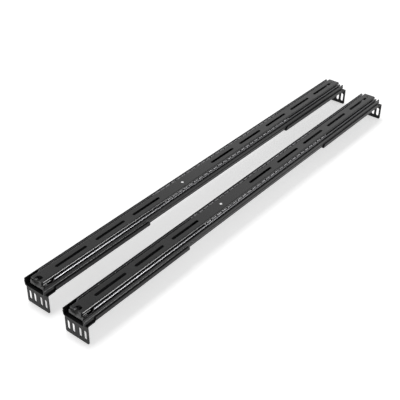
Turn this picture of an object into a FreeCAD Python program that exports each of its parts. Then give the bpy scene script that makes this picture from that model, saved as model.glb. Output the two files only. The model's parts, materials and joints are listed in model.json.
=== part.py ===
# A pair of three-section ball-bearing rails that carry a server in a rack.
# Both rails lie side by side with the face that meets the server upwards, and stand on the
# ears that bolt to the rack posts. X runs across the rails, Y from the front ears to the
# rear ears and Z up. The origin is on the floor, under the middle of the pair.
import FreeCAD
import Part
import itertools
import math
import os

Vector = FreeCAD.Vector

# Layout of the pair
RAIL_SPACING = 85.0
STAGGER = 8.0

# Lengths along one rail, from the face of the front ear
RAIL_LENGTH = 800.0
OUTER_FRONT_REACH = 4.0
OUTER_REAR_GAP = 10.0
MIDDLE_SETBACK = 5.0
INNER_SETBACK = 1.0
INNER_REAR_GAP = 3.0
END_PLAY = 0.5
SLIDE_TRAVEL = 360.0

# Sheet thicknesses and bends on the middle of the sheet
BRACKET_SHEET = 1.6
OUTER_SHEET = 1.6
MIDDLE_SHEET = 1.5
INNER_SHEET = 1.5
CAGE_SHEET = 0.6
BRACKET_BEND = 1.6
OUTER_BEND = 2.4
MIDDLE_BEND = 1.0
INNER_BEND = 1.6

# Cross-section of the slide
INNER_WIDTH = 23.4
INNER_BALL = 3.2
OUTER_BALL = 3.5
BALL_PLAY = 0.15
OUTER_FLANGE_HEIGHT = 13.0
WEB_GAP = 1.5
MIDDLE_SHOULDER = 0.8
LEAD_IN_LENGTH = 17.0
ROW_SPACING = 5.6
LIP = 0.6
INNER_CROWN = 2.1
CAGE_GAP = 0.6
CAGE_STAND = 1.3
CAGE_FOOT = 3.0

# Raceway shape as shares of the ball's radius
GROOVE_DEPTH = 0.35
GROOVE_FLAT = 0.35
GROOVE_RAMP = 0.6
GROOVE_ROUND = 0.85
SMALLEST_BEND = 0.01

# How far a cutting shape reaches past what it cuts
CUT_MARGIN = 1.0

# Rows of balls
INNER_PITCH = 13.0
INNER_ROW_START = 262.0
INNER_ROW_COUNT = 27
OUTER_PITCH = 60.0
OUTER_ROW_START = 262.0
OUTER_ROW_COUNT = 6
CAGE_MARGIN = 4.5

# Slots, holes and nose of the inner member
SLOT_WIDTH = 5.0
SLOT_LENGTH = 61.0
SLOT_PITCH = 80.0
FRONT_SLOTS_START = 37.0
FRONT_SLOT_COUNT = 3
REAR_SLOTS_SETBACK = 15.0
REAR_SLOT_COUNT = 5
LOCATING_HOLE = 3.2
LOCATING_HOLE_SETBACK = 10.0
NOSE_NOTCH_WIDTH = 9.6
NOSE_NOTCH_DEPTH = 10.0
NOSE_NOTCH_CORNER = 2.0
NOSE_CHAMFER = 3.0

# Brackets with their ears
BRACKET_LENGTH = 212.0
FLANGE_START = 16.0
FLANGE_HEIGHT = 6.2
FLANGE_GAP = 0.1
FLANGE_CORNER = 3.0
RELIEF_WIDTH = 1.2
SLIDE_GAP = 0.2
EAR_WIDTH = 44.0
EAR_DROP = 31.0
EAR_CORNER = 2.5
EAR_SLOT_WIDTH = 5.2
EAR_SLOT_LENGTH = 16.5
EAR_SLOT_HEIGHT = 14.0
CLOSE_SLOT_SPACING = 12.7
WIDE_SLOT_SPACING = 31.75

# Screws, washers and the depth adjustment
SCREW_THREAD = 4.0
SCREW_PLAY = 0.05
SCREW_HEAD = 8.0
SCREW_HEAD_HEIGHT = 2.2
SCREW_HOLE = 4.5
WASHER_DIAMETER = 10.0
WASHER_SHEET = 0.8
FRONT_SCREW_START = 45.0
FRONT_SCREW_PITCH = 130.0
FRONT_SCREW_COUNT = 2
REAR_SCREW_SETBACK = 25.0
REAR_SCREW_PITCH = 30.0
REAR_SCREW_COUNT = 2
ADJUST_TRAVEL = 80.0

# Sides of the small round pieces and holes, few because they repeat
SMALL_ROUND_SIDES = 12

# Stops, bumper and release lever
STOP_LENGTH = 10.0
STOP_OVERHANG = 4.0
STOP_PLATE = 1.8
STOP_TROUGH = 3.0
STOP_HEIGHT = 5.2
STOP_DIP = 2.4
STOP_NOTCH_WIDTH = 6.0
STOP_NOTCH_FLOOR = 0.8
STOP_SIDE_GAP = 0.1
STOP_RIVET = 3.0
STOP_RIVET_SPACING = 18.0
BUMPER_LENGTH = 4.0
BUMPER_HEIGHT = 5.0
BUMPER_SIDE_GAP = 2.0
BUMPER_PEG = 5.0
LEVER_POSITION = 315.0
LEVER_SHEET = 1.2
LEVER_GAP = 0.2
LEVER_OFFSET = 6.0
LEVER_WIDTH = 6.0
LEVER_HUB = 9.0
LEVER_CORNER = 2.5
LEVER_TAIL = 16.0
HOOK_WIDTH = 4.0
HOOK_CLEARANCE = 0.6
HOOK_GAP = 0.8
PIVOT_SHANK = 3.0
PIVOT_HEAD = 5.0
PIVOT_HEAD_HEIGHT = 0.8
PIVOT_PLAY = 0.1

# Half widths of the slide, from the inner member out to the bracket
inner_radius = INNER_BALL / 2
outer_radius = OUTER_BALL / 2
inner_depth = GROOVE_DEPTH * inner_radius
outer_depth = GROOVE_DEPTH * outer_radius
inner_wall = (INNER_WIDTH - INNER_SHEET) / 2
inner_row_x = INNER_WIDTH / 2 - inner_depth + BALL_PLAY + inner_radius
middle_bulge = inner_row_x + inner_radius + BALL_PLAY + MIDDLE_SHEET / 2
middle_wall = middle_bulge - inner_depth
middle_dip = middle_wall - outer_depth
outer_row_x = middle_dip + MIDDLE_SHEET / 2 + BALL_PLAY + outer_radius
outer_bulge = outer_row_x + outer_radius + BALL_PLAY + OUTER_SHEET / 2
outer_wall = outer_bulge - outer_depth
flange_inside = outer_bulge + OUTER_SHEET / 2 + FLANGE_GAP
flange_middle = flange_inside + BRACKET_SHEET / 2

# Heights above the back of the outer member
inner_groove_half = (GROOVE_FLAT + GROOVE_RAMP) * inner_radius
outer_groove_half = (GROOVE_FLAT + GROOVE_RAMP) * outer_radius
middle_base = OUTER_SHEET + WEB_GAP
middle_floor = middle_base + MIDDLE_SHEET
outer_row_z = middle_floor + MIDDLE_SHOULDER + outer_groove_half
inner_row_z = outer_row_z + ROW_SPACING
inner_lip_z = inner_row_z - inner_groove_half - LIP
inner_web_z = inner_row_z + inner_groove_half + INNER_CROWN
inner_face_z = inner_web_z + INNER_SHEET / 2
middle_top_z = inner_row_z + inner_groove_half + LIP
lead_in_z = (outer_row_z + outer_groove_half + inner_row_z - inner_groove_half) / 2
inner_cage_foot_z = inner_lip_z - CAGE_GAP - CAGE_SHEET / 2
inner_cage_top_z = inner_row_z + inner_radius + CAGE_STAND
outer_cage_foot_z = OUTER_SHEET + WEB_GAP / 2
outer_cage_top_z = outer_row_z + outer_radius + CAGE_STAND
lever_top_z = inner_face_z - INNER_SHEET - LEVER_GAP
lever_base_z = lever_top_z - LEVER_SHEET
notch_floor_z = middle_floor + STOP_NOTCH_FLOOR
hook_end_z = notch_floor_z + HOOK_CLEARANCE
back_z = EAR_DROP + BRACKET_SHEET

# Ends of the members
outer_end = RAIL_LENGTH - OUTER_REAR_GAP
middle_end = outer_end - BUMPER_LENGTH - END_PLAY
inner_end = outer_end - INNER_REAR_GAP
stop_front = MIDDLE_SETBACK - STOP_OVERHANG
stop_back = stop_front + STOP_LENGTH
lever_reach = SLIDE_TRAVEL + stop_back + HOOK_GAP + LEVER_SHEET / 2 - LEVER_POSITION
lever_angle = math.degrees(math.asin(LEVER_OFFSET / lever_reach))


def shifted_path(points, offset):
    """Corners (x, z, bend) of an open path after a move of offset to its left."""
    normals = []
    for (x1, z1, _), (x2, z2, _) in zip(points, points[1:]):
        length = math.hypot(x2 - x1, z2 - z1)
        normals.append(((z1 - z2) / length, (x2 - x1) / length))
    moved = []
    for index, (x, z, bend) in enumerate(points):
        before = normals[max(index - 1, 0)]
        after = normals[min(index, len(normals) - 1)]
        turn = before[0] * after[1] - before[1] * after[0]
        scale = offset / (1 + before[0] * after[0] + before[1] * after[1])
        new_x = x + (before[0] + after[0]) * scale
        new_z = z + (before[1] + after[1]) * scale
        new_bend = bend - math.copysign(1, turn) * offset if bend else 0.0
        moved.append((new_x, new_z, max(new_bend, 0.0)))
    return moved


def rounded_edges(points, place):
    """Lines and arcs along corners (a, b, bend); place turns a and b into a point."""
    edges = []
    start = place(points[0][0], points[0][1])
    for previous, corner, following in zip(points, points[1:], points[2:]):
        here = place(corner[0], corner[1])
        line_end = here
        if corner[2] > SMALLEST_BEND:
            back = (place(previous[0], previous[1]) - here).normalize()
            ahead = (place(following[0], following[1]) - here).normalize()
            half_angle = back.getAngle(ahead) / 2
            tangent = corner[2] / math.tan(half_angle)
            depth = corner[2] / math.sin(half_angle) - corner[2]
            line_end = here + back * tangent
            here = here + ahead * tangent
            arc_middle = place(corner[0], corner[1]) + (back + ahead).normalize() * depth
        if start.distanceToPoint(line_end) > SMALLEST_BEND:
            edges.append(Part.makeLine(start, line_end))
        if corner[2] > SMALLEST_BEND:
            edges.append(Part.Arc(line_end, arc_middle, here).toShape())
        start = here
    edges.append(Part.makeLine(start, place(points[-1][0], points[-1][1])))
    return edges


def across(x, z):
    """A point of a cross-section."""
    return Vector(x, 0, z)


def lengthwise(y, z):
    """A point of a side view."""
    return Vector(0, y, z)


def flat(x, y):
    """A point of a plan view."""
    return Vector(x, y, 0)


def sheet_face(points, thickness, place):
    """Section of a bent sheet whose middle follows the path."""
    left = shifted_path(points, thickness / 2)
    right = shifted_path(points, -thickness / 2)[::-1]
    edges = rounded_edges(left, place)
    edges.append(Part.makeLine(place(left[-1][0], left[-1][1]), place(right[0][0], right[0][1])))
    edges += rounded_edges(right, place)
    edges.append(Part.makeLine(place(right[-1][0], right[-1][1]), place(left[0][0], left[0][1])))
    return Part.Face(Part.Wire(edges))


def outline_face(points, place):
    """Face inside a closed outline, which starts in the middle of its first side."""
    start = ((points[0][0] + points[-1][0]) / 2, (points[0][1] + points[-1][1]) / 2, 0.0)
    return Part.Face(Part.Wire(rounded_edges([start] + points + [start], place)))


def channel(half_path, thickness, start, end):
    """Bent channel that is the same on both sides, from its right flange's free edge."""
    path = half_path + [(-x, z, bend) for x, z, bend in reversed(half_path)]
    section = sheet_face(path, thickness, across)
    section.translate(Vector(0, start, 0))
    return section.extrude(Vector(0, end - start, 0))


def raceway(wall, depth, row_z, radius):
    """Corners of a ball groove pressed sideways out of a wall, from its top down."""
    level = GROOVE_FLAT * radius
    reach = level + GROOVE_RAMP * radius
    bend = GROOVE_ROUND * radius
    return [
        (wall, row_z + reach, bend),
        (wall + depth, row_z + level, bend),
        (wall + depth, row_z - level, bend),
        (wall, row_z - reach, bend),
    ]


def drill(x, y, bottom, top, diameter):
    """Upright round bar between two heights, with few sides because small rounds repeat."""
    corners = []
    for index in range(SMALL_ROUND_SIDES):
        angle = 2 * math.pi * (index + 0.5) / SMALL_ROUND_SIDES
        corners.append(Vector(x + diameter / 2 * math.cos(angle), y + diameter / 2 * math.sin(angle), bottom))
    face = Part.Face(Part.makePolygon(corners + corners[:1]))
    return face.extrude(Vector(0, 0, top - bottom))


def slot_face(x, start, length, width, place):
    """Face of a round-ended slot centred on x, its ends with few sides because slots repeat."""
    radius = width / 2
    steps = SMALL_ROUND_SIDES // 2
    corners = []
    for centre, first_angle in ((start + length - radius, 0.0), (start + radius, math.pi)):
        for index in range(steps + 1):
            angle = first_angle + math.pi * index / steps
            corners.append(place(x + radius * math.cos(angle), centre + radius * math.sin(angle)))
    return Part.Face(Part.makePolygon(corners + corners[:1]))


def slot_cutter(y, bottom, top, width, length):
    """Upright prism of a slot that starts at y and runs along the middle of the rail."""
    face = slot_face(0, y, length, width, flat)
    face.translate(Vector(0, 0, bottom))
    return face.extrude(Vector(0, 0, top - bottom))


def row_positions(start, pitch, count):
    """Places along the rail of evenly spaced pieces."""
    return [start + pitch * index for index in range(count)]


def front_screw_places():
    """Places along the rail of the front bracket's screws."""
    return row_positions(FRONT_SCREW_START, FRONT_SCREW_PITCH, FRONT_SCREW_COUNT)


def rear_screw_places():
    """Places along the rail of the rear bracket's screws."""
    return row_positions(outer_end - REAR_SCREW_SETBACK, -REAR_SCREW_PITCH, REAR_SCREW_COUNT)


def make_outer_member():
    """Fixed channel with a ball groove in each flange."""
    half = [(outer_wall, OUTER_FLANGE_HEIGHT, 0.0)]
    half += raceway(outer_wall, outer_depth, outer_row_z, outer_radius)
    half += [(outer_wall, OUTER_SHEET / 2, OUTER_BEND)]
    body = channel(half, OUTER_SHEET, -OUTER_FRONT_REACH, outer_end)
    tapped = SCREW_THREAD + 2 * SCREW_PLAY
    holes = [drill(0, y, -CUT_MARGIN, OUTER_SHEET + CUT_MARGIN, tapped) for y in front_screw_places()]
    holes += [drill(0, y, -CUT_MARGIN, OUTER_SHEET + CUT_MARGIN, tapped) for y in rear_screw_places()]
    peg_hole = BUMPER_PEG + 2 * PIVOT_PLAY
    holes.append(drill(0, bumper_middle(), -CUT_MARGIN, OUTER_SHEET + CUT_MARGIN, peg_hole))
    return body.cut(Part.makeCompound(holes))


def make_middle_member():
    """Sliding channel whose flanges carry the outer balls below and the inner balls above."""
    half = [(middle_wall, middle_top_z, 0.0)]
    half += raceway(middle_wall, inner_depth, inner_row_z, inner_radius)
    half += raceway(middle_wall, -outer_depth, outer_row_z, outer_radius)
    half += [(middle_wall, middle_base + MIDDLE_SHEET / 2, MIDDLE_BEND)]
    body = channel(half, MIDDLE_SHEET, MIDDLE_SETBACK, middle_end)
    cuts = [lead_in_cutter()]
    for x, y in stop_rivet_places():
        bottom = middle_base - CUT_MARGIN
        cuts.append(drill(x, y, bottom, middle_floor + CUT_MARGIN, STOP_RIVET + 2 * PIVOT_PLAY))
    return body.cut(Part.makeCompound(cuts))


def lead_in_cutter():
    """Prism over the front of the middle member, where its upper lips are cut away."""
    front = MIDDLE_SETBACK - CUT_MARGIN
    back = MIDDLE_SETBACK + LEAD_IN_LENGTH
    high = middle_top_z + CUT_MARGIN
    foot = back - (high - lead_in_z)
    outline = [(front, lead_in_z), (foot, lead_in_z), (back, high), (front, high), (front, lead_in_z)]
    face = Part.Face(Part.makePolygon([lengthwise(y, z) for y, z in outline]))
    half = middle_bulge + MIDDLE_SHEET
    face.translate(Vector(-half, 0, 0))
    return face.extrude(Vector(2 * half, 0, 0))


def make_inner_member():
    """Channel that bolts to the server, with long slots and a notched nose."""
    half = [(inner_wall, inner_web_z, INNER_BEND)]
    half += raceway(inner_wall, -inner_depth, inner_row_z, inner_radius)
    half += [(inner_wall, inner_lip_z, 0.0)]
    body = channel(half[::-1], INNER_SHEET, INNER_SETBACK, inner_end)
    bottom = inner_face_z - INNER_SHEET - CUT_MARGIN
    top = inner_face_z + CUT_MARGIN
    last_start = inner_end - REAR_SLOTS_SETBACK - SLOT_LENGTH
    starts = row_positions(FRONT_SLOTS_START, SLOT_PITCH, FRONT_SLOT_COUNT)
    starts += row_positions(last_start, -SLOT_PITCH, REAR_SLOT_COUNT)
    cuts = [slot_cutter(y, bottom, top, SLOT_WIDTH, SLOT_LENGTH) for y in starts]
    cuts.append(drill(0, inner_end - LOCATING_HOLE_SETBACK, bottom, top, LOCATING_HOLE))
    cuts.append(drill(0, LEVER_POSITION, bottom, top, PIVOT_SHANK + 2 * PIVOT_PLAY))
    head_seat = inner_face_z - PIVOT_HEAD_HEIGHT
    cuts.append(drill(0, LEVER_POSITION, head_seat, top, PIVOT_HEAD + 2 * PIVOT_PLAY))
    cuts.append(nose_notch(bottom, top))
    cuts += nose_chamfers()
    return body.cut(Part.makeCompound(cuts))


def nose_notch(bottom, top):
    """Notch in the front edge of the inner member's web."""
    side = NOSE_NOTCH_WIDTH / 2
    end = INNER_SETBACK + NOSE_NOTCH_DEPTH
    inset = side - NOSE_NOTCH_CORNER
    outline = [(-side, 0), (side, 0), (side, end - NOSE_NOTCH_CORNER), (inset, end)]
    outline += [(-inset, end), (-side, end - NOSE_NOTCH_CORNER), (-side, 0)]
    face = Part.Face(Part.makePolygon([Vector(x, y, bottom) for x, y in outline]))
    return face.extrude(Vector(0, 0, top - bottom))


def nose_chamfers():
    """Wedges that taper the inner member's front corners."""
    edge = INNER_WIDTH / 2
    wedges = []
    for side in (-1, 1):
        front = Vector(side * (edge - NOSE_CHAMFER / 2), INNER_SETBACK, 0)
        back = Vector(side * edge, INNER_SETBACK + NOSE_CHAMFER, 0)
        corner = Vector(side * edge, INNER_SETBACK, 0)
        face = Part.Face(Part.makePolygon([front, back, corner, front]))
        wedges.append(face.extrude(Vector(0, 0, inner_face_z + CUT_MARGIN)))
    return wedges


def ball(radius):
    """Ball with few faces: an icosahedron with its corners on the sphere."""
    golden = (1 + math.sqrt(5)) / 2
    corners = []
    for short, long in itertools.product((-1, 1), (-golden, golden)):
        corners += [Vector(0, short, long), Vector(short, long, 0), Vector(long, 0, short)]
    neighbour = 1.1 * min(corners[0].distanceToPoint(corner) for corner in corners[1:])
    faces = []
    for trio in itertools.combinations(corners, 3):
        if all(a.distanceToPoint(b) < neighbour for a, b in itertools.combinations(trio, 2)):
            faces.append(Part.Face(Part.makePolygon(list(trio) + [trio[0]])))
    body = Part.Solid(Part.Shell(faces))
    return body.scaled(radius / corners[0].Length)


def make_balls(row_x, row_z, radius, places):
    """Two rows of balls, one on each side."""
    model = ball(radius)
    balls = []
    for y in places:
        for side in (-1, 1):
            copy = model.copy()
            copy.translate(Vector(side * row_x, y, row_z))
            balls.append(copy)
    return Part.makeCompound(balls)


def make_cage(row_x, row_z, radius, foot_z, top_z, places):
    """Two ball retainer strips with a foot along the bottom and a pocket for each ball."""
    start = places[0] - CAGE_MARGIN
    end = places[-1] + CAGE_MARGIN
    reach = radius + BALL_PLAY
    pockets = []
    for y in places:
        corner = Vector(-row_x - reach, y - reach, row_z - reach)
        height = top_z - row_z + reach + CUT_MARGIN
        pockets.append(Part.makeBox(2 * (row_x + reach), 2 * reach, height, corner))
    pocket_group = Part.makeCompound(pockets)
    strips = []
    for side in (-1, 1):
        path = [(side * row_x, top_z, 0.0), (side * row_x, foot_z, 0.0)]
        path += [(side * (row_x - CAGE_FOOT), foot_z, 0.0)]
        section = sheet_face(path, CAGE_SHEET, across)
        section.translate(Vector(0, start, 0))
        strips.append(section.extrude(Vector(0, end - start, 0)).cut(pocket_group))
    return Part.makeCompound(strips)


def ear_slot_places():
    """Places across the ear of its four slots."""
    return [
        -WIDE_SLOT_SPACING / 2,
        -CLOSE_SLOT_SPACING / 2,
        CLOSE_SLOT_SPACING / 2,
        WIDE_SLOT_SPACING / 2,
    ]


def make_bracket(top_z, plate_cuts):
    """Bracket with its ear at y = 0: bent ear, plate and a low flange along each side."""
    plate_z = top_z - BRACKET_SHEET / 2
    side_path = [(FLANGE_START, plate_z, 0.0), (BRACKET_SHEET / 2, plate_z, BRACKET_BEND)]
    side_path += [(BRACKET_SHEET / 2, -back_z, 0.0)]
    ear_section = sheet_face(side_path, BRACKET_SHEET, lengthwise)
    ear_section.translate(Vector(-EAR_WIDTH / 2, 0, 0))
    ear = ear_section.extrude(Vector(EAR_WIDTH, 0, 0))
    ear = ear.cut(ear_cuts())
    half = [(flange_middle, FLANGE_HEIGHT, 0.0), (flange_middle, plate_z, BRACKET_BEND)]
    tray = channel(half, BRACKET_SHEET, FLANGE_START, BRACKET_LENGTH)
    body = ear.fuse(tray).cut(Part.makeCompound(plate_cuts + flange_cuts() + relief_cuts()))
    return body.removeSplitter()


def ear_cuts():
    """Slots of the ear and the waste outside its rounded lower corners."""
    low = EAR_SLOT_HEIGHT - EAR_SLOT_LENGTH / 2 - back_z
    cuts = [slot_face(x, low, EAR_SLOT_LENGTH, EAR_SLOT_WIDTH, across) for x in ear_slot_places()]
    for end in (-1, 1):
        edge = end * EAR_WIDTH / 2
        inset = edge - end * EAR_CORNER
        bend = EAR_CORNER * (1 - math.sqrt(0.5))
        corner = Vector(edge, 0, -back_z)
        rise = Vector(edge, 0, EAR_CORNER - back_z)
        run = Vector(inset, 0, -back_z)
        arc = Part.Arc(rise, Vector(edge - end * bend, 0, bend - back_z), run).toShape()
        cuts.append(Part.Face(Part.Wire([Part.makeLine(corner, rise), arc, Part.makeLine(run, corner)])))
    solids = []
    for face in cuts:
        face.translate(Vector(0, -CUT_MARGIN, 0))
        solids.append(face.extrude(Vector(0, BRACKET_SHEET + BRACKET_BEND + CUT_MARGIN, 0)))
    return Part.makeCompound(solids)


def flange_cuts():
    """Waste outside the rounded upper corner at the far end of both flanges."""
    start = BRACKET_LENGTH - FLANGE_CORNER
    low = FLANGE_HEIGHT - FLANGE_CORNER
    bend = FLANGE_CORNER * math.sqrt(0.5)
    rise = Vector(0, start, FLANGE_HEIGHT)
    run = Vector(0, BRACKET_LENGTH, low)
    corner = Vector(0, BRACKET_LENGTH, FLANGE_HEIGHT)
    arc = Part.Arc(rise, Vector(0, start + bend, low + bend), run).toShape()
    face = Part.Face(Part.Wire([arc, Part.makeLine(run, corner), Part.makeLine(corner, rise)]))
    width = flange_middle + BRACKET_SHEET
    face.translate(Vector(-width, 0, 0))
    return [face.extrude(Vector(2 * width, 0, 0))]


def relief_cuts():
    """Bend reliefs in the plate's edges where the flanges begin."""
    width = EAR_WIDTH / 2 - flange_inside + CUT_MARGIN
    low = -BRACKET_SHEET - SLIDE_GAP - CUT_MARGIN
    cuts = []
    for x in (-flange_inside - width, flange_inside):
        corner = Vector(x, FLANGE_START - RELIEF_WIDTH, low)
        cuts.append(Part.makeBox(width, RELIEF_WIDTH, CUT_MARGIN - low, corner))
    return cuts


def make_front_bracket():
    """Bracket screwed to the front of the outer member."""
    bottom = -BRACKET_SHEET - CUT_MARGIN
    holes = [drill(0, y, bottom, CUT_MARGIN, SCREW_HOLE) for y in front_screw_places()]
    return make_bracket(0.0, holes)


def make_rear_bracket():
    """Bracket that slides along the outer member on a slot, which sets the rack depth."""
    screws = [RAIL_LENGTH - y for y in rear_screw_places()]
    length = max(screws) - min(screws) + ADJUST_TRAVEL + SCREW_HOLE
    start = min(screws) - SCREW_HOLE / 2
    bottom = -BRACKET_SHEET - SLIDE_GAP - CUT_MARGIN
    cut = slot_cutter(start, bottom, CUT_MARGIN, SCREW_HOLE, length)
    body = make_bracket(-SLIDE_GAP, [cut])
    body.rotate(Vector(0, 0, 0), Vector(0, 0, 1), 180)
    body.translate(Vector(0, RAIL_LENGTH, 0))
    return body


def screw(x, y, seat_z, tip_z):
    """Screw put in from below, its head under seat_z."""
    head = drill(x, y, seat_z - SCREW_HEAD_HEIGHT, seat_z, SCREW_HEAD)
    shank = drill(x, y, seat_z - SCREW_HEAD_HEIGHT / 2, tip_z, SCREW_THREAD)
    return head.fuse(shank).removeSplitter()


def make_front_screws():
    """Screws that hold the front bracket."""
    return Part.makeCompound([screw(0, y, -BRACKET_SHEET, OUTER_SHEET) for y in front_screw_places()])


def washer_seat():
    """Height of the washers' upper face under the sliding bracket."""
    return -BRACKET_SHEET - 2 * SLIDE_GAP


def make_rear_screws():
    """Screws that clamp the rear bracket."""
    seat = washer_seat() - WASHER_SHEET
    return Part.makeCompound([screw(0, y, seat, OUTER_SHEET) for y in rear_screw_places()])


def make_rear_washers():
    """Washers under the slots of the rear bracket."""
    seat = washer_seat()
    washers = []
    for y in rear_screw_places():
        disc = drill(0, y, seat - WASHER_SHEET, seat, WASHER_DIAMETER)
        washers.append(disc.cut(drill(0, y, seat - WASHER_SHEET, seat, SCREW_THREAD + 2 * PIVOT_PLAY)))
    return Part.makeCompound(washers)


def stop_rivet_places():
    """Places of the two rivets through the front stop."""
    y = (stop_front + STOP_PLATE + STOP_TROUGH + stop_back) / 2
    return [(-STOP_RIVET_SPACING / 2, y), (STOP_RIVET_SPACING / 2, y)]


def stop_top(x):
    """Height of the front stop's dished top at x."""
    half = stop_half_width()
    curve = (half ** 2 + STOP_DIP ** 2) / (2 * STOP_DIP)
    lowest = middle_floor + STOP_HEIGHT - STOP_DIP
    return lowest + curve - math.sqrt(curve ** 2 - x ** 2)


def stop_half_width():
    """Half width of the front stop between the pressed-in walls of the middle member."""
    return middle_dip - MIDDLE_SHEET / 2 - STOP_SIDE_GAP


def make_front_stop():
    """Dished stop across the front of the middle member, with a thin front plate and a notch."""
    half = stop_half_width()
    low_left = Vector(-half, 0, middle_floor)
    low_right = Vector(half, 0, middle_floor)
    top_left = Vector(-half, 0, stop_top(half))
    top_right = Vector(half, 0, stop_top(half))
    dish = Part.Arc(top_right, Vector(0, 0, stop_top(0)), top_left).toShape()
    sides = [Part.makeLine(low_left, low_right), Part.makeLine(low_right, top_right)]
    face = Part.Face(Part.Wire(sides + [dish, Part.makeLine(top_left, low_left)]))
    face.translate(Vector(0, stop_front, 0))
    body = face.extrude(Vector(0, STOP_LENGTH, 0))
    notch_corner = Vector(-STOP_NOTCH_WIDTH / 2, stop_front, notch_floor_z)
    trough_corner = Vector(-half - CUT_MARGIN, stop_front + STOP_PLATE, notch_floor_z)
    cuts = [Part.makeBox(STOP_NOTCH_WIDTH, STOP_LENGTH, STOP_HEIGHT, notch_corner)]
    cuts.append(Part.makeBox(2 * (half + CUT_MARGIN), STOP_TROUGH, STOP_HEIGHT, trough_corner))
    for x, y in stop_rivet_places():
        cuts.append(drill(x, y, middle_floor, inner_lip_z, STOP_RIVET + 2 * PIVOT_PLAY))
    return body.cut(Part.makeCompound(cuts))


def make_stop_rivets():
    """Rivets that hold the front stop on the middle member."""
    rivets = []
    for x, y in stop_rivet_places():
        seat = stop_top(x + math.copysign(PIVOT_HEAD / 2, x))
        shank = drill(x, y, middle_base, seat, STOP_RIVET)
        rivets.append(shank.fuse(drill(x, y, seat, seat + PIVOT_HEAD_HEIGHT, PIVOT_HEAD)))
    return Part.makeCompound(rivets)


def bumper_middle():
    """Place along the rail of the rear bumper's middle."""
    return middle_end + END_PLAY + BUMPER_LENGTH / 2


def make_rear_bumper():
    """Buffer at the back of the outer member, held by a peg in the web."""
    half = outer_wall - OUTER_SHEET / 2 - BUMPER_SIDE_GAP
    corner = Vector(-half, bumper_middle() - BUMPER_LENGTH / 2, OUTER_SHEET)
    block = Part.makeBox(2 * half, BUMPER_LENGTH, BUMPER_HEIGHT, corner)
    upper = [edge for edge in block.Edges if edge.BoundBox.ZMin > OUTER_SHEET + BUMPER_HEIGHT / 2]
    block = block.makeChamfer(BUMPER_LENGTH / 4, upper)
    peg = drill(0, bumper_middle(), 0, OUTER_SHEET + BUMPER_HEIGHT / 2, min(BUMPER_PEG, BUMPER_LENGTH))
    return block.fuse(peg).removeSplitter()


def make_release_lever():
    """Lever under the inner member's web, with a hook that catches the front stop."""
    side = LEVER_WIDTH / 2
    front = LEVER_POSITION - LEVER_TAIL
    back = LEVER_POSITION + lever_reach + LEVER_SHEET / 2
    corners = [(-side, front, LEVER_CORNER), (side, front, LEVER_CORNER)]
    corners += [(side, back, 0.0), (-side, back, 0.0)]
    arm_face = outline_face(corners, flat)
    arm_face.translate(Vector(0, 0, lever_base_z))
    arm = arm_face.extrude(Vector(0, 0, LEVER_SHEET))
    hub = drill(0, LEVER_POSITION, lever_base_z, lever_top_z, LEVER_HUB)
    corner = Vector(-HOOK_WIDTH / 2, back - LEVER_SHEET, hook_end_z)
    hook = Part.makeBox(HOOK_WIDTH, LEVER_SHEET, lever_top_z - hook_end_z, corner)
    hole = drill(0, LEVER_POSITION, lever_base_z, lever_top_z, PIVOT_SHANK + 2 * PIVOT_PLAY)
    body = arm.fuse([hub, hook]).removeSplitter().cut(hole)
    body.rotate(Vector(0, LEVER_POSITION, 0), Vector(0, 0, 1), -lever_angle)
    return body


def make_lever_rivet():
    """Bright pivot rivet of the lever, its head sunk flush in the face of the inner member."""
    lower_seat = lever_base_z - PIVOT_PLAY
    shank = drill(0, LEVER_POSITION, lower_seat, inner_face_z, PIVOT_SHANK)
    head = drill(0, LEVER_POSITION, inner_face_z - PIVOT_HEAD_HEIGHT, inner_face_z, PIVOT_HEAD)
    tail = drill(0, LEVER_POSITION, lower_seat - PIVOT_HEAD_HEIGHT, lower_seat, PIVOT_HEAD)
    return shank.fuse([head, tail]).removeSplitter()


def make_rail():
    """All pieces of one rail by name, standing over the origin with its front ear at y = 0."""
    inner_places = row_positions(INNER_ROW_START, INNER_PITCH, INNER_ROW_COUNT)
    outer_places = row_positions(OUTER_ROW_START, OUTER_PITCH, OUTER_ROW_COUNT)
    inner_row = (inner_row_x, inner_row_z, inner_radius)
    outer_row = (outer_row_x, outer_row_z, outer_radius)
    return {
        "outer_member": make_outer_member(),
        "front_bracket": make_front_bracket(),
        "front_bracket_screws": make_front_screws(),
        "rear_bracket": make_rear_bracket(),
        "rear_bracket_screws": make_rear_screws(),
        "rear_bracket_washers": make_rear_washers(),
        "rear_bumper": make_rear_bumper(),
        "outer_ball_cage": make_cage(*outer_row, outer_cage_foot_z, outer_cage_top_z, outer_places),
        "outer_balls": make_balls(*outer_row, outer_places),
        "middle_member": make_middle_member(),
        "front_stop": make_front_stop(),
        "front_stop_rivets": make_stop_rivets(),
        "inner_ball_cage": make_cage(*inner_row, inner_cage_foot_z, inner_cage_top_z, inner_places),
        "inner_balls": make_balls(*inner_row, inner_places),
        "inner_member": make_inner_member(),
        "release_lever": make_release_lever(),
        "lever_rivet": make_lever_rivet(),
    }


def main():
    """Write one file per piece of both rails."""
    os.makedirs("parts", exist_ok=True)
    rail = make_rail()
    front = (OUTER_FRONT_REACH - RAIL_LENGTH) / 2
    for side_name, x, y in (
        ("left", -RAIL_SPACING / 2, front + STAGGER / 2),
        ("right", RAIL_SPACING / 2, front - STAGGER / 2),
    ):
        for name, shape in rail.items():
            piece = shape.copy()
            piece.translate(Vector(x, y, back_z))
            piece.exportStep(f"parts/{side_name}_{name}.step")


main()
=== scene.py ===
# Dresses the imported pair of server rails: finishes for its solids, rounded pieces in place of
# the few-sided ones, a pale studio floor, soft light and the camera.
import json
import math

import bpy
from mathutils import Matrix, Vector

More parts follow.
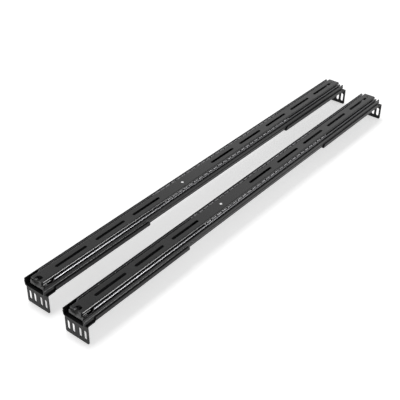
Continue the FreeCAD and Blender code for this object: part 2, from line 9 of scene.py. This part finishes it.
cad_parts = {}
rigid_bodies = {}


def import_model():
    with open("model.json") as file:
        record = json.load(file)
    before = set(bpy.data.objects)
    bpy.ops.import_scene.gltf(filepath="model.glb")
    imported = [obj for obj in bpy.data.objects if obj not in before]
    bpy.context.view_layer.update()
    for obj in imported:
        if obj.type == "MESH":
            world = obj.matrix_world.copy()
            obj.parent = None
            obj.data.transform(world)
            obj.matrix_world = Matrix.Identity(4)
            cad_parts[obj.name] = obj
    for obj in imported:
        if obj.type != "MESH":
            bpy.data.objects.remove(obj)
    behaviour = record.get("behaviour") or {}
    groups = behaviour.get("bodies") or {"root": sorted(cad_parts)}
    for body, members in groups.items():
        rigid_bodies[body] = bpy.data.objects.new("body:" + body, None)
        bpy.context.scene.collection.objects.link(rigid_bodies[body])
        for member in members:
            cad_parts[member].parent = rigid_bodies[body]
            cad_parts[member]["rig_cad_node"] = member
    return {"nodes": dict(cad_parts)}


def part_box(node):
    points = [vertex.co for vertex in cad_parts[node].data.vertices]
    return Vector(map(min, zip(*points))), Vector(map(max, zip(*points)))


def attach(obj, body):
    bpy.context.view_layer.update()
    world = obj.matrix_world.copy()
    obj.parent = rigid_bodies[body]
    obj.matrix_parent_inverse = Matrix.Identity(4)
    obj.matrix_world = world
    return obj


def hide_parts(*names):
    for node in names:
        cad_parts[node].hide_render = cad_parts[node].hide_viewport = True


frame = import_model()

bl_info = {
    "name": "Server Rail Pair",
    "version": (1, 0, 0),
    "blender": (4, 5, 0),
    "location": "View3D > Sidebar > Server Rails",
    "description": "Finishes and rounded pieces for a pair of sliding server rails",
    "category": "Add Mesh",
}

MM = 0.001
SIDES = ("left", "right")

# Finish, rounding of the edges in mm, and body of each bent sheet or moulded piece
sheet_nodes = {
    "outer_member": ("outer_finish", 0.45, "rails_fixed"),
    "front_bracket": ("bracket_finish", 0.25, "rails_fixed"),
    "rear_bracket": ("bracket_finish", 0.25, "{side}_rear_ear"),
    "middle_member": ("middle_finish", 0.25, "{side}_middle"),
    "inner_member": ("inner_finish", 0.35, "{side}_inner"),
    "inner_ball_cage": ("cage_finish", 0.06, "{side}_inner_cage"),
    "outer_ball_cage": ("cage_finish", 0.1, "{side}_outer_cage"),
    "release_lever": ("lever_finish", 0.15, "{side}_lever"),
    "front_stop": ("stop_finish", 0.4, "{side}_middle"),
    "rear_bumper": ("bumper_finish", 0.4, "rails_fixed"),
}
ROUNDING_SEGMENTS = 2
SHARP_EDGE = math.radians(40)

# Faces flatter than this are joined, and edges shorter than these are closed up before and
# after the edges are rounded
FLAT_FACES = math.radians(0.5)
SHORT_EDGE = 0.01 * MM
SHORTEST_EDGE = 0.001 * MM

# The solids' balls are icosahedra, whose boxes span this share of a ball's diameter
BALL_SHARE = 0.8507

# Rounded rims of the screws' heads and of the rivets, and the chamfer of the screws' tips
SCREW_RIM = 0.8 * MM
SCREW_CHAMFER = 0.3 * MM
LEVER_DOME = 0.75 * MM
RIVET_RIM = 0.6 * MM

# Two tones of each finish that the settings don't colour
PLATING = ((0.11, 0.11, 0.114), (0.135, 0.135, 0.14))
CAGE_STRIP = ((0.5, 0.5, 0.51), (0.66, 0.66, 0.67))
RIVET_STEEL = ((0.93, 0.93, 0.93), (0.98, 0.98, 0.98))
STOP_PLASTIC = ((0.13, 0.13, 0.13), (0.17, 0.17, 0.17))
RUBBER = ((0.012, 0.012, 0.012), (0.02, 0.02, 0.02))
BUMP_HEIGHT = 0.05 * MM

# Brightness of the studio by the height of a direction, from the horizon up to straight above
sky_levels = (
    (0.30, 0.20),
    (0.42, 1.25),
    (0.47, 1.18),
    (0.52, 0.84),
    (0.575, 0.66),
    (0.616, 0.49),
    (0.656, 0.34),
    (0.74, 0.20),
)
FLOOR_SIZE = 40
FLOOR_DROP = 0.05 * MM
FLOOR_GLOW = 0.57

# Place, target, width and power of the two square lamps
KEY_LIGHT = ((-1.06, 0.0, 5.0), (0, 0, 0), 1.6, 86.0)
EDGE_LIGHT = ((2.4, 0.88, 0.75), (0, -0.2, 0), 1.05, 70.0)

# The photo's camera: its place, its turns about the z, x and y axes, and its lens in mm
CAMERA_PLACE = (0.65969, -0.92487, 0.78695)
CAMERA_TURNS = ((0.69579, "Z"), (0.95798, "X"), (-0.02407, "Y"))
FOCAL_LENGTH = 73.521
SENSOR_WIDTH = 36.0

# Sockets of a colour mix, whose names the node's other kinds of mix share
FIRST_COLOUR = 6
SECOND_COLOUR = 7
MIXED_COLOUR = 2


def select_only(obj):
    """Makes one object the only selected and active one."""
    bpy.ops.object.select_all(action="DESELECT")
    obj.select_set(True)
    bpy.context.view_layer.objects.active = obj


def apply_modifiers(obj):
    """Applies every modifier of an object."""
    select_only(obj)
    for modifier in list(obj.modifiers):
        bpy.ops.object.modifier_apply(modifier=modifier.name)


def edit_whole(obj):
    """Opens one object's mesh for an edit with everything selected."""
    select_only(obj)
    bpy.ops.object.mode_set(mode="EDIT")
    bpy.ops.mesh.select_all(action="SELECT")


def select_end(obj, height):
    """Selects the flat face of a bar's end at a height, ready for an edit."""
    bpy.ops.object.mode_set(mode="OBJECT")
    mesh = obj.data
    for vertex in mesh.vertices:
        vertex.select = False
    for edge in mesh.edges:
        edge.select = False
    for face in mesh.polygons:
        face.select = abs(face.center.z + obj.location.z - height) < SHORTEST_EDGE
    bpy.ops.object.mode_set(mode="EDIT")
    bpy.ops.mesh.select_mode(type="FACE")


def round_bar(x, y, bottom, top, diameter, sides=32):
    """Upright bar between two heights."""
    bpy.ops.object.select_all(action="DESELECT")
    bpy.ops.mesh.primitive_cylinder_add(
        vertices=sides, radius=diameter / 2, depth=top - bottom, location=(x, y, (bottom + top) / 2)
    )
    return bpy.context.active_object


def soften_rim(bar, height, offset, segments):
    """Bevels the rim of a bar's end at a height."""
    select_end(bar, height)
    bpy.ops.mesh.region_to_loop()
    bpy.ops.mesh.bevel(offset=offset, segments=segments, affect="EDGES")
    bpy.ops.object.mode_set(mode="OBJECT")


def cut_with(obj, cutter):
    """Cuts one object with another and removes the cutter."""
    modifier = obj.modifiers.new("cut", "BOOLEAN")
    modifier.operation = "DIFFERENCE"
    modifier.solver = "EXACT"
    modifier.object = cutter
    apply_modifiers(obj)
    bpy.data.objects.remove(cutter)


def add_row(obj, count, step):
    """Repeats an object along a step."""
    row = obj.modifiers.new("row", "ARRAY")
    row.use_relative_offset = False
    row.use_constant_offset = True
    row.constant_offset_displace = step
    row.count = count


def join(parts, name):
    """Joins objects into one piece at the origin."""
    bpy.ops.object.select_all(action="DESELECT")
    for part in parts:
        part.select_set(True)
    bpy.context.view_layer.objects.active = parts[0]
    if len(parts) > 1:
        bpy.ops.object.join()
    piece = bpy.context.active_object
    bpy.ops.object.transform_apply(location=True, rotation=True, scale=True)
    piece.name = name
    piece.data.name = name
    return piece


def mark_rim(piece):
    """Writes which faces are rounded edges to the rim attribute, for the wearing of the finish and
    its painted edge highlight.
    """
    rim = piece.data.attributes.new("rim", "FLOAT", "FACE")
    for face, mark in zip(piece.data.polygons, rim.data):
        mark.value = face.material_index
        face.material_index = 0


def finish_piece(piece, material, node, body, smooth=35.0):
    """Smooths a piece, gives it its finish and puts it in its node's place."""
    select_only(piece)
    bpy.ops.object.shade_smooth_by_angle(angle=math.radians(smooth))
    even = piece.modifiers.new("even", "WEIGHTED_NORMAL")
    even.keep_sharp = True
    apply_modifiers(piece)
    piece.data.materials.clear()
    piece.data.materials.append(bpy.data.materials[material])
    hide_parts(node)
    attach(piece, body)


def new_group(name, inputs, outputs):
    """Node group with named sockets, and its input and output nodes."""
    group = bpy.data.node_groups.new(name, "ShaderNodeTree")
    for socket_name, kind, value in inputs:
        socket = group.interface.new_socket(name=socket_name, in_out="INPUT", socket_type=kind)
        socket.default_value = value
    for socket_name, kind in outputs:
        group.interface.new_socket(name=socket_name, in_out="OUTPUT", socket_type=kind)
    return group, group.nodes.new("NodeGroupInput"), group.nodes.new("NodeGroupOutput")


def noise(group, vector, scale, detail, roughness=0.5):
    """Noise on a vector."""
    node = group.nodes.new("ShaderNodeTexNoise")
    node.inputs["Scale"].default_value = scale
    node.inputs["Detail"].default_value = detail
    node.inputs["Roughness"].default_value = roughness
    group.links.new(vector, node.inputs["Vector"])
    return node.outputs["Fac"]


def ranged(group, value, low, high, from_low=0.3, from_high=0.7):
    """Maps a range of a value onto two limits, each a number or a socket."""
    node = group.nodes.new("ShaderNodeMapRange")
    group.links.new(value, node.inputs["Value"])
    node.inputs["From Min"].default_value = from_low
    node.inputs["From Max"].default_value = from_high
    for limit, name in ((low, "To Min"), (high, "To Max")):
        if isinstance(limit, float):
            node.inputs[name].default_value = limit
        else:
            group.links.new(limit, node.inputs[name])
    return node.outputs["Result"]


def product(group, first, second):
    """Product of two values."""
    node = group.nodes.new("ShaderNodeMath")
    node.operation = "MULTIPLY"
    group.links.new(first, node.inputs[0])
    group.links.new(second, node.inputs[1])
    return node.outputs["Value"]


def mixed(group, factor, first, second):
    """Mix of two colours."""
    node = group.nodes.new("ShaderNodeMix")
    node.data_type = "RGBA"
    group.links.new(factor, node.inputs["Factor"])
    group.links.new(first, node.inputs[FIRST_COLOUR])
    group.links.new(second, node.inputs[SECOND_COLOUR])
    return node.outputs[MIXED_COLOUR]


def build_wear_group():
    """Wearing edges with a painted highlight: lightens the colour of the rounded edges in uneven
    patches, partly as thinned finish and partly as a painted edge highlight, and polishes them.
    """
    group, start, end = new_group(
        "edge_wear",
        [
            ("Vector", "NodeSocketVector", (0, 0, 0)),
            ("Rim", "NodeSocketFloat", 0.0),
            ("Colour", "NodeSocketColor", (0.02, 0.02, 0.02, 1)),
            ("Roughness", "NodeSocketFloat", 0.3),
        ],
        [("Colour", "NodeSocketColor"), ("Roughness", "NodeSocketFloat")],
    )
    wear_and_sheen_noise = noise(group, start.outputs["Vector"], scale=50.0, detail=3.0)
    patchy_wear_and_sheen = ranged(group, wear_and_sheen_noise, low=0.1, high=0.9, from_low=0.4, from_high=0.68)
    wear_and_sheen_mask = product(group, patchy_wear_and_sheen, start.outputs["Rim"])
    # Lighter colour on the rims, up to 2.2 times: partly thinned finish, partly a painted edge
    # highlight
    sheen_lift = ranged(group, wear_and_sheen_mask, low=1.0, high=2.2, from_low=0.0, from_high=1.0)
    worn_and_lit_colour = group.nodes.new("ShaderNodeVectorMath")
    worn_and_lit_colour.operation = "SCALE"
    group.links.new(start.outputs["Colour"], worn_and_lit_colour.inputs[0])
    group.links.new(sheen_lift, worn_and_lit_colour.inputs["Scale"])
    polish = ranged(group, wear_and_sheen_mask, low=1.0, high=0.92, from_low=0.0, from_high=1.0)
    roughness = product(group, start.outputs["Roughness"], polish)
    group.links.new(worn_and_lit_colour.outputs["Vector"], end.inputs["Colour"])
    group.links.new(roughness, end.inputs["Roughness"])


def new_texture(name):
    """Group of a finish that has two tones and two glosses, and wears and carries a painted
    highlight at its rims.
    """
    return new_group(
        name,
        [
            ("Vector", "NodeSocketVector", (0, 0, 0)),
            ("Dark Tone", "NodeSocketColor", (0.02, 0.02, 0.02, 1)),
            ("Light Tone", "NodeSocketColor", (0.03, 0.03, 0.03, 1)),
            ("Gloss Low", "NodeSocketFloat", 0.25),
            ("Gloss High", "NodeSocketFloat", 0.4),
            ("Rim", "NodeSocketFloat", 0.0),
        ],
        [
            ("Colour", "NodeSocketColor"),
            ("Roughness", "NodeSocketFloat"),
            ("Height", "NodeSocketFloat"),
        ],
    )


def end_texture(group, start, end, tone, patches, height):
    """Mixes a texture's tones and glosses, wears them and lightens them as a painted highlight at
    the rims, and puts them out.
    """
    factor = ranged(group, tone, low=0.0, high=1.0)
    colour = mixed(group, factor, start.outputs["Dark Tone"], start.outputs["Light Tone"])
    gloss = ranged(group, patches, start.outputs["Gloss Low"], start.outputs["Gloss High"])
    # Rims lightened as a painted edge highlight besides their wearing
    wear_and_sheen_node = group.nodes.new("ShaderNodeGroup")
    wear_and_sheen_node.node_tree = bpy.data.node_groups["edge_wear"]
    group.links.new(start.outputs["Vector"], wear_and_sheen_node.inputs["Vector"])
    group.links.new(start.outputs["Rim"], wear_and_sheen_node.inputs["Rim"])
    group.links.new(colour, wear_and_sheen_node.inputs["Colour"])
    group.links.new(gloss, wear_and_sheen_node.inputs["Roughness"])
    group.links.new(wear_and_sheen_node.outputs["Colour"], end.inputs["Colour"])
    group.links.new(wear_and_sheen_node.outputs["Roughness"], end.inputs["Roughness"])
    group.links.new(height, end.inputs["Height"])


def build_coat_group():
    """Baked satin coating: slight colour drift, uneven gloss and fine orange peel."""
    group, start, end = new_texture("coat_texture")
    vector = start.outputs["Vector"]
    drift = noise(group, vector, scale=35.0, detail=3.0)
    patches = noise(group, vector, scale=120.0, detail=4.0, roughness=0.6)
    peel = noise(group, vector, scale=900.0, detail=2.0, roughness=0.4)
    end_texture(group, start, end, drift, patches, peel)


def build_drawn_group():
    """Drawn steel: fine streaks along the rail and cloudy gloss."""
    group, start, end = new_texture("drawn_streaks")
    stretch = group.nodes.new("ShaderNodeMapping")
    stretch.inputs["Scale"].default_value = (1.0, 0.012, 1.0)
    group.links.new(start.outputs["Vector"], stretch.inputs["Vector"])
    streaks = noise(group, stretch.outputs["Vector"], scale=2600.0, detail=4.0, roughness=0.7)
    clouds = noise(group, start.outputs["Vector"], scale=60.0, detail=3.0)
    end_texture(group, start, end, streaks, clouds, streaks)


def make_material(name, texture, tones, gloss, bump, metallic=0.0, index=1.46):
    """Material whose colour, roughness and bump come from one of the node groups."""
    material = bpy.data.materials.new(name)
    if material.name != name:
        raise RuntimeError(f"the material name {name} is taken")
    material.use_nodes = True
    nodes, links = material.node_tree.nodes, material.node_tree.links
    shader = nodes["Principled BSDF"]
    shader.inputs["Metallic"].default_value = metallic
    shader.inputs["IOR"].default_value = index
    place = nodes.new("ShaderNodeTexCoord")
    # Rim attribute, which drives the wearing and the painted edge highlight
    rim = nodes.new("ShaderNodeAttribute")
    rim.attribute_name = "rim"
    group = nodes.new("ShaderNodeGroup")
    group.node_tree = bpy.data.node_groups[texture]
    group.inputs["Dark Tone"].default_value = (*tones[0], 1)
    group.inputs["Light Tone"].default_value = (*tones[1], 1)
    group.inputs["Gloss Low"].default_value = gloss[0]
    group.inputs["Gloss High"].default_value = gloss[1]
    relief = nodes.new("ShaderNodeBump")
    relief.inputs["Strength"].default_value = bump
    relief.inputs["Distance"].default_value = BUMP_HEIGHT
    links.new(place.outputs["Object"], group.inputs["Vector"])
    links.new(rim.outputs["Fac"], group.inputs["Rim"])
    links.new(group.outputs["Colour"], shader.inputs["Base Color"])
    links.new(group.outputs["Roughness"], shader.inputs["Roughness"])
    links.new(group.outputs["Height"], relief.inputs["Height"])
    links.new(relief.outputs["Normal"], shader.inputs["Normal"])


def shade(colour, share):
    """Darker or brighter tone of a colour."""
    return tuple(min(1.0, channel * share) for channel in colour)


def colour_setting(name, description, colour):
    """Colour that can be changed in the sidebar."""
    return bpy.props.FloatVectorProperty(
        name=name, description=description, default=colour, subtype="COLOR"
    )


def length_setting(name, description, millimetres):
    """Length that can be changed in the sidebar."""
    return bpy.props.FloatProperty(
        name=name, description=description, default=millimetres * MM, unit="LENGTH"
    )


class RailPairSettings(bpy.types.PropertyGroup):
    """Sizes and colours of the rail pair."""

    inner_ball: length_setting("Inner Ball", "Diameter of the inner slide's balls", 3.2)
    outer_ball: length_setting("Outer Ball", "Diameter of the outer slide's balls", 3.5)
    inner_count: bpy.props.IntProperty(
        name="Inner Balls", description="Balls in one row of the inner slide", default=27, min=2
    )
    outer_count: bpy.props.IntProperty(
        name="Outer Balls", description="Balls in one row of the outer slide", default=6, min=2
    )

    front_screw_pitch: length_setting("Front Screws", "Distance between the front screws", 130.0)
    rear_screw_pitch: length_setting("Rear Screws", "Distance between the rear screws", 30.0)
    screw_head: length_setting("Screw Head", "Diameter of a screw's head", 8.0)
    screw_head_height: length_setting("Screw Head Height", "Height of a screw's head", 2.2)
    screw_shank: length_setting("Screw Shank", "Diameter of a screw's shank", 4.0)
    socket: length_setting("Socket", "Width of a screw's socket over its corners", 2.9)
    socket_depth: length_setting("Socket Depth", "Depth of a screw's socket", 1.3)
    washer: length_setting("Washer", "Diameter of a washer", 10.0)
    washer_hole: length_setting("Washer Hole", "Diameter of a washer's hole", 4.2)

    stop_rivet_pitch: length_setting("Stop Rivets", "Distance between a stop's rivets", 18.0)
    rivet_head: length_setting("Rivet Head", "Diameter of a rivet's head", 5.0)
    rivet_head_height: length_setting("Rivet Head Height", "Height of a rivet's head", 0.8)
    rivet_shank: length_setting("Rivet Shank", "Diameter of a rivet's shank", 3.0)

    coat_colour: colour_setting("Coating", "Colour of the coating", (0.005, 0.005, 0.0053))
    faded_coat_colour: colour_setting(
        "Faded Coating", "Lighter tone of the coating", (0.008, 0.008, 0.0084)
    )
    steel_colour: colour_setting("Steel", "Colour of the bare steel", (0.36, 0.36, 0.37))
    floor_colour: colour_setting("Floor", "Colour of the studio floor", (0.8, 0.8, 0.8))


class RAILPAIR_OT_finishes(bpy.types.Operator):
    """Make the finishes of coating, steel, plastic and rubber"""

    bl_idname = "rail_pair.finishes"
    bl_label = "Make Finishes"

    def make_coats(self, coat):
        """Coatings, plastic and rubber."""
        texture = "coat_texture"
        make_material("outer_finish", texture, coat, gloss=(0.2, 0.26), bump=0.1, index=1.31)
        make_material("bracket_finish", texture, coat, gloss=(0.25, 0.33), bump=0.12, index=1.27)
        make_material("inner_finish", texture, coat, gloss=(0.25, 0.3), bump=0.08, index=1.65)
        make_material("stop_finish", texture, STOP_PLASTIC, gloss=(0.35, 0.45), bump=0.2)
        make_material("bumper_finish", texture, RUBBER, gloss=(0.6, 0.75), bump=0.4)

    def make_metals(self, steel):
        """Plated and bare steels."""
        bright = shade(steel, 1.6)
        dull = shade(steel, 0.5)
        # A third of the steel's colour, used only for the balls: darkened so they read as shaded in
        # their notches, a painted shade
        shaded_ball_steel = shade(steel, 0.3)
        for name, tones, gloss, bump, metallic in (
            ("middle_finish", PLATING, (0.25, 0.29), 0.01, 1.0),
            ("cage_finish", CAGE_STRIP, (0.5, 0.58), 0.02, 1.0),
            ("lever_finish", (dull, steel), (0.3, 0.4), 0.1, 1.0),
            ("screw_finish", (steel, bright), (0.25, 0.35), 0.05, 1.0),
            # The balls' tones are darkened as painted shade
            ("ball_finish", (shaded_ball_steel, dull), (0.3, 0.4), 0.0, 1.0),
            ("rivet_finish", RIVET_STEEL, (0.38, 0.46), 0.03, 0.55),
        ):
            make_material(name, "drawn_streaks", tones, gloss, bump, metallic)

    def execute(self, context):
        settings = context.scene.rail_pair
        build_wear_group()
        build_coat_group()
        build_drawn_group()
        self.make_coats((settings.coat_colour, settings.faded_coat_colour))
        self.make_metals(settings.steel_colour)
        return {"FINISHED"}


class RAILPAIR_OT_sheets(bpy.types.Operator):
    """Round the edges of the bent sheets and the moulded pieces"""

    bl_idname = "rail_pair.sheets"
    bl_label = "Round Sheet Edges"

    def copy_node(self, node):
        """Merged copy of a node's shape."""
        select_only(frame["nodes"][node])
        bpy.ops.object.duplicate()
        piece = bpy.context.active_object
        del piece["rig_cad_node"]
        piece.parent = None
        piece.name = f"{node}_finished"
        piece.data.name = piece.name
        edit_whole(piece)
        bpy.ops.mesh.remove_doubles(threshold=SHORTEST_EDGE)
        bpy.ops.mesh.dissolve_limited(angle_limit=FLAT_FACES)
        bpy.ops.mesh.dissolve_degenerate(threshold=SHORT_EDGE)
        bpy.ops.object.mode_set(mode="OBJECT")
        return piece

    def round_edges(self, piece, material, width):
        """Rounds the sharp edges and marks them by the second of two like materials."""
        piece.data.materials.clear()
        for _ in range(2):
            piece.data.materials.append(bpy.data.materials[material])
        rounding = piece.modifiers.new("rounding", "BEVEL")
        rounding.material = 1
        rounding.width = width
        rounding.segments = ROUNDING_SEGMENTS
        rounding.limit_method = "ANGLE"
        rounding.angle_limit = SHARP_EDGE
        apply_modifiers(piece)
        edit_whole(piece)
        bpy.ops.mesh.dissolve_degenerate(threshold=SHORTEST_EDGE)
        bpy.ops.object.mode_set(mode="OBJECT")

    def execute(self, context):
        for side in SIDES:
            for name, (material, width, body) in sheet_nodes.items():
                node = f"{side}_{name}"
                piece = self.copy_node(node)
                self.round_edges(piece, material, width * MM)
                mark_rim(piece)
                finish_piece(piece, material, node, body.format(side=side))
        return {"FINISHED"}


class RAILPAIR_OT_balls(bpy.types.Operator):
    """Fill the rows with smooth balls"""

    bl_idname = "rail_pair.balls"
    bl_label = "Add Balls"

    def add_rows(self, node, diameter, count):
        """Two rows of balls in the places of a node's."""
        low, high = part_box(node)
        reach = diameter / 2 * BALL_SHARE
        first = low + Vector((reach, reach, reach))
        last = high - Vector((reach, reach, reach))
        bpy.ops.object.select_all(action="DESELECT")
        bpy.ops.mesh.primitive_ico_sphere_add(subdivisions=2, radius=diameter / 2, location=first)
        ball = bpy.context.active_object
        add_row(ball, count, (0, (last.y - first.y) / (count - 1), 0))
        add_row(ball, 2, (last.x - first.x, 0, 0))
        apply_modifiers(ball)
        return join([ball], f"{node}_smooth")

    def execute(self, context):
        settings = context.scene.rail_pair
        for side in SIDES:
            for row, diameter, count in (
                ("inner", settings.inner_ball, settings.inner_count),
                ("outer", settings.outer_ball, settings.outer_count),
            ):
                node = f"{side}_{row}_balls"
                piece = self.add_rows(node, diameter, count)
                finish_piece(piece, "ball_finish", node, f"{side}_{row}_cage", smooth=80.0)
        return {"FINISHED"}


class RAILPAIR_OT_screws(bpy.types.Operator):
    """Add the socket-headed screws and washers under the brackets"""

    bl_idname = "rail_pair.screws"
    bl_label = "Add Screws"

    def add_screw(self, settings, x, y, bottom, top):
        """Head with a hexagonal socket, and shank, of a screw whose head is below."""
        seat = bottom + settings.screw_head_height
        head = round_bar(x, y, bottom, seat, settings.screw_head)
        soften_rim(head, bottom, SCREW_RIM, segments=4)
        cut_with(
            head,
            round_bar(x, y, bottom - MM, bottom + settings.socket_depth, settings.socket, sides=6),
        )
        shank = round_bar(x, y, seat, top, settings.screw_shank, sides=24)
        soften_rim(shank, top, SCREW_CHAMFER, segments=1)
        return [head, shank]

    def add_washer(self, settings, x, y, bottom, top):
        """Flat ring."""
        washer = round_bar(x, y, bottom, top, settings.washer, sides=40)
        cut_with(washer, round_bar(x, y, bottom - MM, top + MM, settings.washer_hole))
        return [washer]

    def execute(self, context):
        settings = context.scene.rail_pair
        for side in SIDES:
            for name, pitch, add, ending in (
                ("front_bracket_screws", settings.front_screw_pitch, self.add_screw, "socketed"),
                ("rear_bracket_screws", settings.rear_screw_pitch, self.add_screw, "socketed"),
                ("rear_bracket_washers", settings.rear_screw_pitch, self.add_washer, "round"),
            ):
                node = f"{side}_{name}"
                low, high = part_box(node)
                middle = (low + high) / 2
                parts = []
                for y in (middle.y - pitch / 2, middle.y + pitch / 2):
                    parts += add(settings, middle.x, y, low.z, high.z)
                piece = join(parts, f"{node}_{ending}")
                finish_piece(piece, "screw_finish", node, "rails_fixed")
        return {"FINISHED"}


class RAILPAIR_OT_rivets(bpy.types.Operator):
    """Add the domed rivets of the levers and front stops"""

    bl_idname = "rail_pair.rivets"
    bl_label = "Add Rivets"

    def add_lever_rivet(self, settings, node):
        """Rivet with a flat dome above and a formed head below."""
        low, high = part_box(node)
        x, y = ((low + high) / 2).xy
        seat = high.z - settings.rivet_head_height
        tail_seat = low.z + settings.rivet_head_height
        head = round_bar(x, y, seat, high.z, settings.rivet_head)
        soften_rim(head, high.z, LEVER_DOME, segments=5)
        shank = round_bar(x, y, tail_seat, seat, settings.rivet_shank, sides=24)
        tail = round_bar(x, y, low.z, tail_seat, settings.rivet_head)
        soften_rim(tail, low.z, RIVET_RIM, segments=4)
        return join([head, shank, tail], f"{node}_domed")

    def add_stop_rivets(self, settings, node):
        """Two rivets side by side with their heads above."""
        low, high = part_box(node)
        middle = (low + high) / 2
        seat = high.z - settings.rivet_head_height
        reach = settings.stop_rivet_pitch / 2
        parts = []
        for x in (middle.x - reach, middle.x + reach):
            head = round_bar(x, middle.y, seat, high.z, settings.rivet_head)
            soften_rim(head, high.z, RIVET_RIM, segments=4)
            parts += [head, round_bar(x, middle.y, low.z, seat, settings.rivet_shank, sides=24)]
        return join(parts, f"{node}_domed")

    def execute(self, context):
        settings = context.scene.rail_pair
        for side in SIDES:
            for name, add, body in (
                ("lever_rivet", self.add_lever_rivet, "inner"),
                ("front_stop_rivets", self.add_stop_rivets, "middle"),
            ):
                node = f"{side}_{name}"
                piece = add(settings, node)
                finish_piece(piece, "rivet_finish", node, f"{side}_{body}", smooth=40.0)
        return {"FINISHED"}


class RAILPAIR_OT_stage(bpy.types.Operator):
    """Set the floor, the soft lights and the camera"""

    bl_idname = "rail_pair.stage"
    bl_label = "Set Stage"

    def make_floor(self, colour):
        """Pale floor with a faint glow, which is clear from below."""
        bpy.ops.object.select_all(action="DESELECT")
        bpy.ops.mesh.primitive_plane_add(size=FLOOR_SIZE, location=(0, 0, -FLOOR_DROP))
        floor = bpy.context.active_object
        floor.name = "studio_floor"
        material = bpy.data.materials.new("studio_floor")
        material.use_nodes = True
        nodes, links = material.node_tree.nodes, material.node_tree.links
        shader = nodes["Principled BSDF"]
        shader.inputs["Base Color"].default_value = (*colour, 1)
        shader.inputs["Roughness"].default_value = 1.0
        shader.inputs["Specular IOR Level"].default_value = 0.0
        shader.inputs["Emission Color"].default_value = (1, 1, 1, 1)
        shader.inputs["Emission Strength"].default_value = FLOOR_GLOW
        side = nodes.new("ShaderNodeNewGeometry")
        clear = nodes.new("ShaderNodeBsdfTransparent")
        shown = nodes.new("ShaderNodeMixShader")
        links.new(side.outputs["Backfacing"], shown.inputs["Fac"])
        links.new(shader.outputs["BSDF"], shown.inputs[1])
        links.new(clear.outputs["BSDF"], shown.inputs[2])
        links.new(shown.outputs["Shader"], nodes["Material Output"].inputs["Surface"])
        floor.data.materials.append(material)
        return floor

    def make_sky(self, scene):
        """Studio walls graded by height, which the camera sees as plain white."""
        world = bpy.data.worlds.new("studio")
        world.use_nodes = True
        nodes, links = world.node_tree.nodes, world.node_tree.links
        direction = nodes.new("ShaderNodeTexCoord")
        parts = nodes.new("ShaderNodeSeparateXYZ")
        fade = nodes.new("ShaderNodeValToRGB")
        stops = fade.color_ramp.elements
        while len(stops) < len(sky_levels):
            stops.new(1.0)
        for stop, (height, level) in zip(stops, sky_levels):
            stop.position = height
            stop.color = (level, level, level, 1)
        rays = nodes.new("ShaderNodeLightPath")
        seen = nodes.new("ShaderNodeMix")
        seen.data_type = "RGBA"
        seen.inputs[SECOND_COLOUR].default_value = (1, 1, 1, 1)
        links.new(direction.outputs["Generated"], parts.inputs["Vector"])
        links.new(parts.outputs["Z"], fade.inputs["Fac"])
        links.new(rays.outputs["Is Camera Ray"], seen.inputs["Factor"])
        links.new(fade.outputs["Color"], seen.inputs[FIRST_COLOUR])
        links.new(seen.outputs[MIXED_COLOUR], nodes["Background"].inputs["Color"])
        scene.world = world

    def add_lamp(self, scene, name, place, target, width, power):
        """Square lamp that faces a target."""
        light = bpy.data.lights.new(name, "AREA")
        light.size = width
        light.energy = power
        lamp = bpy.data.objects.new(name, light)
        scene.collection.objects.link(lamp)
        lamp.location = place
        lamp.rotation_euler = (Vector(place) - Vector(target)).to_track_quat("Z", "Y").to_euler()
        return lamp

    def keep_light_off(self, lamp, obj):
        """Lets a lamp light everything but one object."""
        flagged = bpy.data.collections.new(f"kept from the {lamp.name} light")
        flagged.objects.link(obj)
        lamp.light_linking.receiver_collection = flagged
        flagged.collection_objects[0].light_linking.link_state = "EXCLUDE"

    def add_camera(self, scene):
        """Camera at the photo's angle."""
        lens = bpy.data.cameras.new("camera")
        lens.sensor_width = SENSOR_WIDTH
        lens.lens = FOCAL_LENGTH
        lens.clip_end = 100
        camera = bpy.data.objects.new("camera", lens)
        scene.collection.objects.link(camera)
        place = Matrix.Translation(CAMERA_PLACE)
        for angle, axis in CAMERA_TURNS:
            place = place @ Matrix.Rotation(angle, 4, axis)
        camera.matrix_world = place
        scene.camera = camera

    def execute(self, context):
        scene = context.scene
        floor = self.make_floor(scene.rail_pair.floor_colour)
        self.make_sky(scene)
        self.add_lamp(scene, "key", *KEY_LIGHT)
        edge = self.add_lamp(scene, "edge", *EDGE_LIGHT)
        self.keep_light_off(edge, floor)
        self.add_camera(scene)
        scene.view_settings.view_transform = "Standard"
        return {"FINISHED"}


class RAILPAIR_PT_sidebar(bpy.types.Panel):
    """Sidebar panel of the rail pair"""

    bl_label = "Server Rails"
    bl_idname = "RAILPAIR_PT_sidebar"
    bl_space_type = "VIEW_3D"
    bl_region_type = "UI"
    bl_category = "Server Rails"

    def draw(self, context):
        column = self.layout.column()
        for name in RailPairSettings.__annotations__:
            column.prop(context.scene.rail_pair, name)
        for operator in operators:
            column.operator(operator.bl_idname)


operators = (
    RAILPAIR_OT_finishes,
    RAILPAIR_OT_sheets,
    RAILPAIR_OT_balls,
    RAILPAIR_OT_screws,
    RAILPAIR_OT_rivets,
    RAILPAIR_OT_stage,
)
classes = (RailPairSettings, *operators, RAILPAIR_PT_sidebar)


def register():
    """Registers the classes and the settings."""
    for item in classes:
        bpy.utils.register_class(item)
    bpy.types.Scene.rail_pair = bpy.props.PointerProperty(type=RailPairSettings)


def unregister():
    """Removes the settings and the classes."""
    del bpy.types.Scene.rail_pair
    for item in reversed(classes):
        bpy.utils.unregister_class(item)


def main():
    """Builds every piece."""
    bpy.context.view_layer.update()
    register()
    bpy.ops.rail_pair.finishes()
    bpy.ops.rail_pair.sheets()
    bpy.ops.rail_pair.balls()
    bpy.ops.rail_pair.screws()
    bpy.ops.rail_pair.rivets()
    bpy.ops.rail_pair.stage()


if __name__ == "__main__":
    main()
